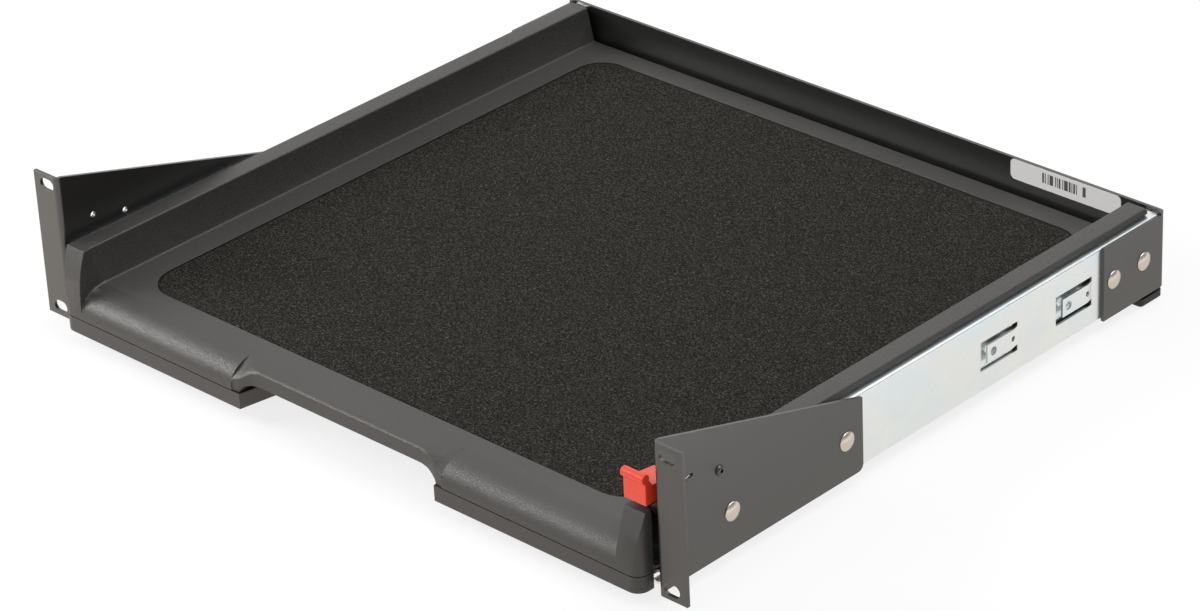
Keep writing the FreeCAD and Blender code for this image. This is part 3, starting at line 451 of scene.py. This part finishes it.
def plated(name, colour, roughness):
    """Turned or pressed metal with a soft plated shine."""
    made, tree, shader = finish(name, colour, roughness, 1.0)
    where = coordinates(tree)
    cloud = noise(tree, where, 300.0, 2.0)
    painted(tree, shader, cloud, [(0.3, paler(colour, 0.97)), (0.7, colour)])
    fine = noise(tree, where, 3500.0, 2.0)
    hazed(tree, shader, fine, roughness * 0.95, roughness * 1.1)
    relief(tree, shader, fine, 0.000002, 0.3)
    return made


def smooth_plastic(name, colour, roughness, depth, edge=None):
    """Moulded plastic with a faint haze; a frame node's sharp edges are softened by edge metres."""
    made, tree, shader = finish(name, colour, roughness)
    where = coordinates(tree)
    cloud = noise(tree, where, 120.0, 2.0)
    painted(tree, shader, cloud, [(0.3, paler(colour, 0.93)), (0.7, colour)])
    fine = noise(tree, where, 400.0, 2.0)
    hazed(tree, shader, fine, roughness * 0.9, roughness * 1.1)
    relief(tree, shader, fine, depth, 0.4, None if edge is None else soft_edges(tree, edge))
    return made


def needle_felt(name):
    """Dense black needled carpet: matted fibres, with a few paler brown ones among them."""
    made, tree, shader = finish(name, (0.02, 0.019, 0.018), 0.95)
    where = coordinates(tree)
    tufts = noise(tree, where, 880.0, 4.0, 0.75)
    fibres = noise(tree, where, 2100.0, 3.0, 0.7)
    mixed = sums(tree, "MULTIPLY_ADD", fibres, 0.6, tufts)
    painted(tree, shader, mixed, [(0.62, (0.004, 0.0038, 0.0035)), (0.78, (0.0125, 0.0118, 0.0108)),
                                  (0.90, (0.042, 0.039, 0.035)), (1.0, (0.135, 0.121, 0.105))])
    shader.inputs["Sheen Weight"].default_value = 0.035
    shader.inputs["Sheen Roughness"].default_value = 0.5
    shader.inputs["Sheen Tint"].default_value = (1.0, 0.93, 0.84, 1.0)
    shader.inputs["Specular IOR Level"].default_value = 0.02
    relief(tree, shader, mixed, 0.0005, 0.9)
    return made


def label_paper(name):
    """White label stock with a block of plain upright bars. The place along the label is cut into
    narrow steps, each step draws a random value, and it is inked when that value is over a half."""
    paper, ink = (0.84, 0.83, 0.81), (0.10, 0.09, 0.09)
    made, tree, shader = finish(name, paper, 0.45)
    x, _, z = axes(tree, coordinates(tree))
    step = sums(tree, "FLOOR", sums(tree, "MULTIPLY", x, BAR_STEPS))
    chance = tree.nodes.new("ShaderNodeTexWhiteNoise")
    chance.noise_dimensions = "1D"
    tree.links.new(step, chance.inputs["W"])
    inked = sums(tree, "GREATER_THAN", chance.outputs["Value"], 0.50)
    for place, middle, reach in zip((x, z), BARS_MIDDLE, BARS_REACH):
        away = sums(tree, "ABSOLUTE", sums(tree, "SUBTRACT", place, middle))
        inked = sums(tree, "MULTIPLY", inked, sums(tree, "LESS_THAN", away, reach))
    painted(tree, shader, inked, [(0.0, paper), (1.0, ink)])
    fine = noise(tree, coordinates(tree), 1800.0, 2.0)
    hazed(tree, shader, fine, 0.40, 0.52)
    relief(tree, shader, fine, 0.00001, 0.4)
    return made


# Pieces

def dome(height, fall, power, inner, width, start=0.0):
    """The profile of a domed head, from the middle outwards: the radius grows evenly from inner by
    width, and the height falls by the share of that way, raised to a power."""
    return [(height - fall * h ** power, inner + width * h) for h in np.linspace(start, 1, 9)]


def rivet(along, way):
    """A domed rivet with a rounded rim, its shank, and its tail flush in the rail's web."""
    head = dome(2.0, 1.25, 2.2, 0.0, 5.0)
    rim = [(0.62, 5.24), (0.42, 5.42), (0.18, 5.5), (0.0, 5.42)]
    tail = [(0.0, 2.4), (-2.3, 2.4), (-3.2, 3.3), (-3.2, 0.0)]
    return turned(head + rim + tail, (way * SIDE_OUTER, along, RAIL_CENTRE), way)


def rivets(name):
    """The rivets of one sheet, on both sides of the shelf."""
    pieces = [rivet(along, way) for along in RIVET_PLACES[name] for way in (1.0, -1.0)]
    return together("domed_" + name, pieces)


def hexagon(radius, angle):
    """Radii as given, but that of a hexagon with flats 2.0 apart where they are about 1: there the
    radius is that of the flat, over the cosine of the angle from the flat's middle."""
    flat = 1.0 / np.cos(np.mod(angle + np.pi / 6, np.pi / 3) - np.pi / 6)
    return np.where((radius > 0.9) & (radius < 1.1), flat * radius, radius)


def pivot_screw():
    """A black button-head screw: a domed head round a hexagon socket, over a straight shank."""
    socket = [(0.65, 0.0), (0.65, 1.0), (1.58, 1.02), (1.62, 1.35)]
    head = dome(1.62, 1.45, 2.4, 1.35, 1.62, 0.15)
    shank = [(0.0, 2.95), (0.0, 1.2), (-5.2, 1.2), (-5.2, 0.0)]
    screw = turned(socket + head + shank, (SIDE_OUTER, *PIVOT), 1.0, 60, hexagon)
    return together("socket_head_screw", [screw])


def crossed_screws(name, places, head, length, up):
    """Countersunk screws driven upwards: a flat head with a cross sunk into it, whose depth fades out
    along each arm, and a threaded shank whose radius steps in and out along its length and narrows
    over its last tenth."""
    sides, turns = 48, 12
    depth, arm_width, arm_reach = 1.1, 0.55, 0.62
    core, groove, taper = 1.6, 0.22, 0.5
    pieces = []
    angle = np.linspace(0, CIRCLE, sides, endpoint=False)
    r, t = np.meshgrid(head * np.linspace(0, 1, 15), angle, indexing="ij")
    across = np.minimum(np.abs(r * np.cos(t)), np.abs(r * np.sin(t)))
    reach = np.clip(1 - r / (arm_reach * head), 0, 1)
    sunk = depth * np.clip(1 - across / arm_width, 0, 1) ** 0.3 * reach ** 0.5
    thread = np.linspace(0, 1, 61)
    pitch = np.mod(thread * turns, 1)
    radius = core - groove * (pitch > 0.5) - taper * np.clip((thread - 0.9) * 10, 0, 1)
    for x, y, z in places:
        top = np.stack([x + r * np.cos(t), y + r * np.sin(t), z + sunk], axis=-1)
        high, a = np.meshgrid(z + up + length * thread, angle, indexing="ij")
        c = np.meshgrid(radius, angle, indexing="ij")[0]
        shank = np.stack([x + c * np.cos(a), y + c * np.sin(a), high], axis=-1)
        rim = [x + head * np.cos(angle), y + head * np.sin(angle), np.full(sides, z + up)]
        seat = np.stack(rim, axis=-1)[None]
        tip = np.broadcast_to(np.array([x, y, z + up + length + 0.3]), (1, sides, 3))
        pieces.append(weave("screw", np.concatenate([top, seat, shank, tip])))
    return together(name, pieces)


def round_balls(name, replaced):
    """Bearing balls at the corners of the box that the frame's own four fill. The rings of each are
    circles whose radius is the sine of the angle from its pole."""
    low, high = (np.array(corner) * 1000 + (0, 0, EAR_MIDDLE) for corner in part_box(replaced))
    radius = 1.8
    tilt = np.linspace(0, np.pi, 25)
    profile = np.stack([radius * np.cos(tilt), radius * np.sin(tilt)], axis=-1)
    middle = (low[0] + high[0]) / 2
    pieces = [turned(profile, (middle, y, z), 1.0, 32)
              for y in (low[1] + radius, high[1] - radius) for z in (low[2] + radius, high[2] - radius)]
    return together(name, pieces)


def latch_spring():
    """The latch's torsion spring: a leg over the arm, one turn of wire round the collar, and a leg
    that ends hooked in the bracket's slot. The turn is a helix round the pivot."""
    wire, coil_radius, coil_start, coil_run = 0.34, 3.5, 220.65, 0.75
    arm_edge, arm_top, leg_end = 216.9, 55.97, 30.0
    share = np.linspace(0, 1, 73)
    turn = np.pi / 2 - CIRCLE * share
    coil = np.stack([coil_start + coil_run * share, PIVOT[0] + coil_radius * np.cos(turn),
                     PIVOT[1] + coil_radius * np.sin(turn)], axis=-1)
    over = bend([(arm_edge, leg_end, arm_top), (coil_start, leg_end, arm_top), coil[0]], 0.9)
    hook = bend([coil[-1], (coil_start + coil_run, 24.67, 57.98), (222.8, 24.67, 57.98),
                 (222.8, 20.33, 57.22)], 0.6)
    return bent_wire("latch_torsion_spring", np.vstack([over[:-1], coil, hook[1:]]), wire)


def release_latch():
    """The red thumb lever: a block under an upright tab with a rolled bead, on a thin arm that ends in
    a hub round the pivot. Each part is a side outline with rounded corners, given a width along X."""
    def from_side(along, up, across):
        """Places for an outline drawn along Y and up Z."""
        return across, along, up
    bottom = RIDGE_TOP + 0.3
    block_left, block_right, arm_left, arm_right, neck_left = 203.0, 218.0, 216.6, 219.9, 218.6
    tab_front, tab_back, tab_top = -2.1, 1.2, bottom + 13.6
    block_rear, block_top, block_front_top = 20.5, bottom + 8.2, bottom + 10.4
    arm_front, arm_rear, neck_front, arm_top = 9.5, 38.0, 34.0, PIVOT[1] + 3.2
    bead_radius, bead_middle = 2.7, (-1.5, bottom + 15.1)
    block = rounded([(tab_front, bottom, 0.6), (block_rear, bottom, 0.6), (block_rear, block_top, 1.2),
                     (3.2, block_front_top, 1.6), (tab_back, tab_top), (tab_front, tab_top)])
    turn = np.linspace(0, CIRCLE, 40, endpoint=False)
    bead = np.stack([bead_middle[0] + bead_radius * np.cos(turn),
                     bead_middle[1] + bead_radius * np.sin(turn)], axis=-1)
    arm = rounded([(arm_front, bottom, 0.4), (arm_rear, bottom, 0.4), (arm_rear, arm_top, 0.8),
                   (arm_front, block_top, 0.4)])
    neck = rounded([(neck_front, bottom, 0.4), (PIVOT[0], PIVOT[1] - 3.4), (PIVOT[0], PIVOT[1] + 3.9),
                    (neck_front, arm_top, 0.4)])
    hub = [(-1.3, 2.05), (-1.3, 4.2), (-1.15, 4.4), (0.0, 4.4), (0.0, 2.9), (1.3, 2.9), (1.5, 2.7),
           (1.5, 2.05), (-1.3, 2.05)]
    parts = [("latch_body", block, block_left, block_right, 0.5),
             ("latch_bead", bead, block_left, block_right, 0.45),
             ("latch_arm", arm, arm_left, arm_right, 0.3),
             ("latch_neck", neck, neck_left, arm_right, 0.2)]
    pieces = [eased(slab(name, outline, left, right, from_side), width)
              for name, outline, left, right, width in parts]
    return together("red_release_latch", pieces + [turned(hub, (arm_right, *PIVOT))])


def carpet_mat():
    """The felt mat: a sheet over a rectangle whose corner squares are drawn in to quarter circles, by
    the ratio of a point's larger distance to its straight one. Its edge rolls over within 1.2 mm, and
    its top is uneven by waves of two sizes, at most 0.15 mm deep, as matted fibre is."""
    half, front, rear, front_corner, rear_corner = 184.7, 22.1, 389.6, 21.2, 17.4
    base, thick, roll, wave = POCKET_FLOOR + 0.02, 1.78, 1.2, 0.045
    cells, open_from = 228, 3.2
    inset = np.array([0.0, 0.10, 0.3, 0.6, 1.0, 1.6])
    long = (rear - front) / 2
    across, along = (np.concatenate([-reach + inset,
                                     np.linspace(-reach + open_from, reach - open_from, cells),
                                     reach - inset[::-1]]) for reach in (half, long))
    y, x = np.meshgrid(along, across, indexing="ij")
    corner = np.where(y < 0, front_corner, rear_corner)
    a = np.maximum(np.abs(x) - (half - corner), 0)
    b = np.maximum(np.abs(y) - (long - corner), 0)
    draw = np.maximum(a, b) / np.maximum(np.hypot(a, b), 1e-9)
    draw = np.where((a > 0) & (b > 0), draw, 1.0)
    edge = np.minimum(half - np.abs(x), long - np.abs(y))
    x = x + np.sign(x) * a * (draw - 1)
    y = y + np.sign(y) * b * (draw - 1)
    lift = 1 - np.clip(1 - edge / roll, 0, 1) ** 2.5
    waves = (np.sin(x * 0.71 + 1.3 * np.sin(y * 0.37)) * np.sin(y * 0.83 + 1.1 * np.sin(x * 0.29))
             + 0.7 * np.sin(x * 1.9 + 2.1 * np.sin(y * 0.9)) * np.sin(y * 2.1 + 1.7 * np.sin(x * 0.8)))
    z = base + thick * lift - wave * (1.7 + waves) * (lift > 0.9)
    places = np.stack([x, y + (front + rear) / 2, z], axis=-1).reshape(-1, 3)
    index = np.arange(len(places)).reshape(x.shape)
    quads = np.stack([index[:-1, :-1], index[:-1, 1:], index[1:, 1:], index[1:, :-1]], axis=-1)
    rim = np.concatenate([index[0, :-1], index[:-1, -1], index[-1, :0:-1], index[:0:-1, 0]])
    return mesh("felt_mat", places, quads.reshape(-1, 4).tolist() + [rim.tolist()])


def sticker():
    """The label on the inside of the rear panel: a rectangle with rounded corners and the thickness of
    paper."""
    def from_front(along, up, across):
        """Places for an outline drawn along X and up Z."""
        return along, across, up
    left, right, low, high, corner = 117.5, 195.0, 34.4, 47.0, 3.0
    outline = rounded([(left, low, corner), (right, low, corner), (right, high, corner),
                       (left, high, corner)], 8)
    return slab("paper_label", outline, 407.72, 407.9, from_front)


def tray_shell():
    """The tray's upper shell, from the frame's own mesh with its loose triangles merged. The hollow
    between floor and side wall is drawn in to a fine crease: a point at height h over the floor or the
    roll and at distance d from the wall's foot goes to a third of both. The roll's height at each place
    along the tray is that of its curve, (1-t)^3 a + 3(1-t)^2 t b + 3(1-t) t^2 c + t^3 d."""
    roll_along, roll_high = (11.0, -0.6, -9.0, -9.0), (FLOOR_TOP, FLOOR_TOP, 21.1, 13.5)
    wall_foot, slope, kept = 202.7, 0.0842, 0.34
    hollow_high, hollow_wide, roll_low = 3.1, 4.2, 14
    data = node["tray_top"].data
    spots = np.empty(len(data.vertices) * 3)
    data.vertices.foreach_get("co", spots)
    corners = np.empty(len(data.polygons) * 3, int)
    data.polygons.foreach_get("vertices", corners)
    spots = spots.reshape(-1, 3) * 1000 + (0, 0, EAR_MIDDLE)
    grain = np.round(spots * 1e3).astype(np.int64)
    _, first, same = np.unique(grain, axis=0, return_index=True, return_inverse=True)
    spots = spots[first]
    faces = same.reshape(-1)[corners].reshape(-1, 3)
    faces = faces[(faces != np.roll(faces, 1, axis=1)).all(axis=1)]
    x, y, z = np.abs(spots[:, 0]), spots[:, 1], spots[:, 2]
    t = np.linspace(1, 0, 200)
    along, high = ((1 - t) ** 3 * a + 3 * (1 - t) ** 2 * t * b + 3 * (1 - t) * t ** 2 * c + t ** 3 * d
                   for a, b, c, d in (roll_along, roll_high))
    level = np.interp(y, along, high)
    foot = wall_foot - slope * (FLOOR_TOP - level)
    h, d = z - level, foot - x
    near = (h > -0.15) & (h < hollow_high) & (d > -0.3) & (d < hollow_wide) & (z > roll_low)
    share = np.where(near, kept, 1.0)
    spots[:, 2] = np.where(near, level + h * share, z)
    drawn = foot - d * share - slope * h * (1 - share)
    spots[:, 0] = np.sign(spots[:, 0]) * np.where(near, drawn, x)
    return mesh("moulded_tray_shell", spots, faces.tolist(), turn=False)


# Dressing

def mount(piece, replaced, material, ride=True):
    """Give a piece its finish, and let it stand for the frame's node and ride where that rides."""
    piece.data.materials.clear()
    piece.data.materials.append(material)
    if ride:
        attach(piece, body_of(node[replaced])[0])
    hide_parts(replaced)


def mount_spring(material):
    """The spring's hook stays with the frame and its leg over the arm goes with the latch: the coil
    between them takes up the turn, from its outer end to its inner one."""
    spring = latch_spring()
    mount(spring, "latch_spring", material, ride=False)
    along, height = PIVOT[0] * METRE, (PIVOT[1] - EAR_MIDDLE) * METRE
    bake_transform(spring, "frame", "latch", start=(0.2215, along, height), end=(0.2206, along, height))


def dress(names, material):
    """Give CAD nodes this material."""
    for name in names:
        data = node[name].data
        data.materials.clear()
        data.materials.append(material)


def dress_frame():
    """Finish all nodes: the plain ones get a material, and finer pieces stand for the others."""
    steel = powder_coat("powder_coated_steel", (0.0095, 0.0092, 0.0088), (0.0125, 0.012, 0.0115))
    zinc = zinc_plate("zinc_plated_strip")
    nickel = plated("satin_nickel", (0.62, 0.56, 0.495), 0.27)
    black = plated("black_oxide", (0.10, 0.10, 0.105), 0.35)
    wire = plated("bright_wire", (0.85, 0.85, 0.83), 0.20)
    polished = plated("bearing_steel", (0.80, 0.80, 0.80), 0.12)
    charcoal = grained_plastic("charcoal_plastic", (0.016, 0.0155, 0.015), (0.036, 0.035, 0.034))
    nylon = smooth_plastic("black_nylon", (0.02, 0.02, 0.021), 0.45, 0.00003, 0.0004)
    rubber = smooth_plastic("black_rubber", (0.016, 0.016, 0.016), 0.6, 0.00006, 0.0006)
    red = smooth_plastic("red_plastic", (0.72, 0.050, 0.018), 0.30, 0.000004)

    dress(["right_rack_bracket", "left_rack_bracket", "rear_panel"], steel)
    dress([side + part for side in ("right_", "left_") for part in RAIL_PARTS], zinc)
    dress(["rail_screws", "latch_pivot_sleeve"], nickel)
    dress(["tray_base"], charcoal)
    dress(["rail_bumpers"], nylon)
    dress(["rear_feet"], rubber)

    mount(tray_shell(), "tray_top", charcoal)
    for name in BALL_NODES:
        mount(round_balls("round_" + name, name), name, polished)
    for name in RIVET_PLACES:
        mount(rivets(name), name, nickel)
    screws = crossed_screws("cross_head_tray_screws", TRAY_SCREW_PLACES, 3.4, 11.0, 2.0)
    mount(screws, "tray_screws", black)
    mount(pivot_screw(), "latch_pivot_screw", black)
    mount_spring(wire)
    mount(release_latch(), "release_latch", red)
    mount(carpet_mat(), "carpet_mat", needle_felt("black_needle_felt"))
    mount(sticker(), "rear_sticker", label_paper("label_paper"))


# Studio

def softbox(name, place, aim, size, power):
    """A square area light at a place, turned towards a point."""
    data = bpy.data.lights.new(name, "AREA")
    data.size = size
    data.energy = power
    lamp = bpy.data.objects.new(name, data)
    bpy.context.scene.collection.objects.link(lamp)
    here = np.array(place, float)
    lamp.location = here
    way = bpy.context.scene.cursor.location.copy()
    way[:] = np.array(aim, float) - here
    lamp.rotation_mode = "QUATERNION"
    lamp.rotation_quaternion = way.to_track_quat("-Z", "Y")


def studio_floor():
    """A white floor that catches the shelf's shadow. It glows white to the camera, and to rays that
    bounce off the shelf: more at the left, less close ahead, and warmer left of the right wing, as
    large pale cards beside the shelf would. Each of those changes is given as two strengths and
    the two places between which one goes over into the other."""
    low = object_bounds()[0].z - 0.0005
    bpy.ops.mesh.primitive_plane_add(size=30.0, location=(0, 0, low))
    floor = bpy.context.object
    floor.name = "studio_floor"
    made, tree, shader = finish("floor_white", (0.90, 0.90, 0.90), 0.9)
    shader.inputs["Specular IOR Level"].default_value = 0.0
    path = tree.nodes.new("ShaderNodeLightPath")
    glossy, through = path.outputs["Is Glossy Ray"], path.outputs["Is Transmission Ray"]
    mirrored = sums(tree, "MAXIMUM", glossy, through)
    to_camera = sums(tree, "MULTIPLY", path.outputs["Is Camera Ray"], 0.80)
    amount = sums(tree, "MAXIMUM", to_camera, mirrored)
    x, y, _ = axes(tree, coordinates(tree))
    leftwards = spread(tree, x, 1.5, 0.95, -0.5, 0.25)
    ahead = spread(tree, y, 0.45, 1.0, -0.42, -0.14)
    far_left = spread(tree, x, 1.0, 0.0, -0.5, -0.3)
    front = sums(tree, "MULTIPLY", leftwards, sums(tree, "MAXIMUM", ahead, far_left))
    shine = sums(tree, "MAXIMUM", front, spread(tree, x, 0.0, 1.3, 0.24, 0.34))
    shown = sums(tree, "SUBTRACT", 1.0, mirrored)
    glow = tree.nodes.new("ShaderNodeEmission")
    tree.links.new(sums(tree, "MULTIPLY_ADD", mirrored, shine, shown), glow.inputs["Strength"])
    white = spread(tree, sums(tree, "MULTIPLY_ADD", shown, 10.0, x), 0.0, 1.0, 0.2, 0.34)
    tint = ramp(tree, white, [(0.0, (1.0, 0.935, 0.865)), (1.0, (1.0, 1.0, 1.0))])
    tree.links.new(tint, glow.inputs["Color"])
    mix = tree.nodes.new("ShaderNodeMixShader")
    tree.links.new(amount, mix.inputs["Fac"])
    tree.links.new(shader.outputs[0], mix.inputs[1])
    tree.links.new(glow.outputs[0], mix.inputs[2])
    tree.links.new(mix.outputs[0], tree.nodes["Material Output"].inputs["Surface"])
    floor.data.materials.append(made)
    floor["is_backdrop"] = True


def surround():
    """A white surround for the camera, dimmer where it lights the shelf. Rays that bounce off the
    shelf find it brighter to the left and behind, and darker to the right and ahead."""
    world = bpy.data.worlds.new("studio")
    bpy.context.scene.world = world
    world.use_nodes = True
    tree = world.node_tree
    path = tree.nodes.new("ShaderNodeLightPath")
    camera, through = path.outputs["Is Camera Ray"], path.outputs["Is Transmission Ray"]
    seen = sums(tree, "MAXIMUM", camera, through)
    x, y, _ = axes(tree, tree.nodes.new("ShaderNodeTexCoord").outputs["Generated"])
    side = spread(tree, x, 0.62, -0.04, -0.15, 0.55)
    behind = spread(tree, y, 0.3, 1.0, -0.45, 0.1)
    bounced = sums(tree, "MULTIPLY", side, behind)
    light = sums(tree, "MULTIPLY_ADD", path.outputs["Is Glossy Ray"], bounced, 0.42)
    back = tree.nodes["Background"]
    back.inputs["Color"].default_value = (1.0, 1.0, 1.0, 1)
    tree.links.new(sums(tree, "MAXIMUM", seen, light), back.inputs["Strength"])


def portrait():
    """The camera that sees the shelf as the photograph does."""
    data = bpy.data.cameras.new("portrait")
    data.lens = CAMERA_LENS
    data.sensor_width = CAMERA_FILM
    data.clip_end = CAMERA_REACH
    camera = bpy.data.objects.new("portrait", data)
    bpy.context.scene.collection.objects.link(camera)
    camera.location = CAMERA_PLACE
    camera.rotation_euler = CAMERA_TURN
    bpy.context.scene.camera = camera


dress_frame()
studio_floor()
surround()
for lamp in SOFTBOXES:
    softbox(*lamp)
portrait()
bpy.context.scene.view_settings.view_transform = "Standard"
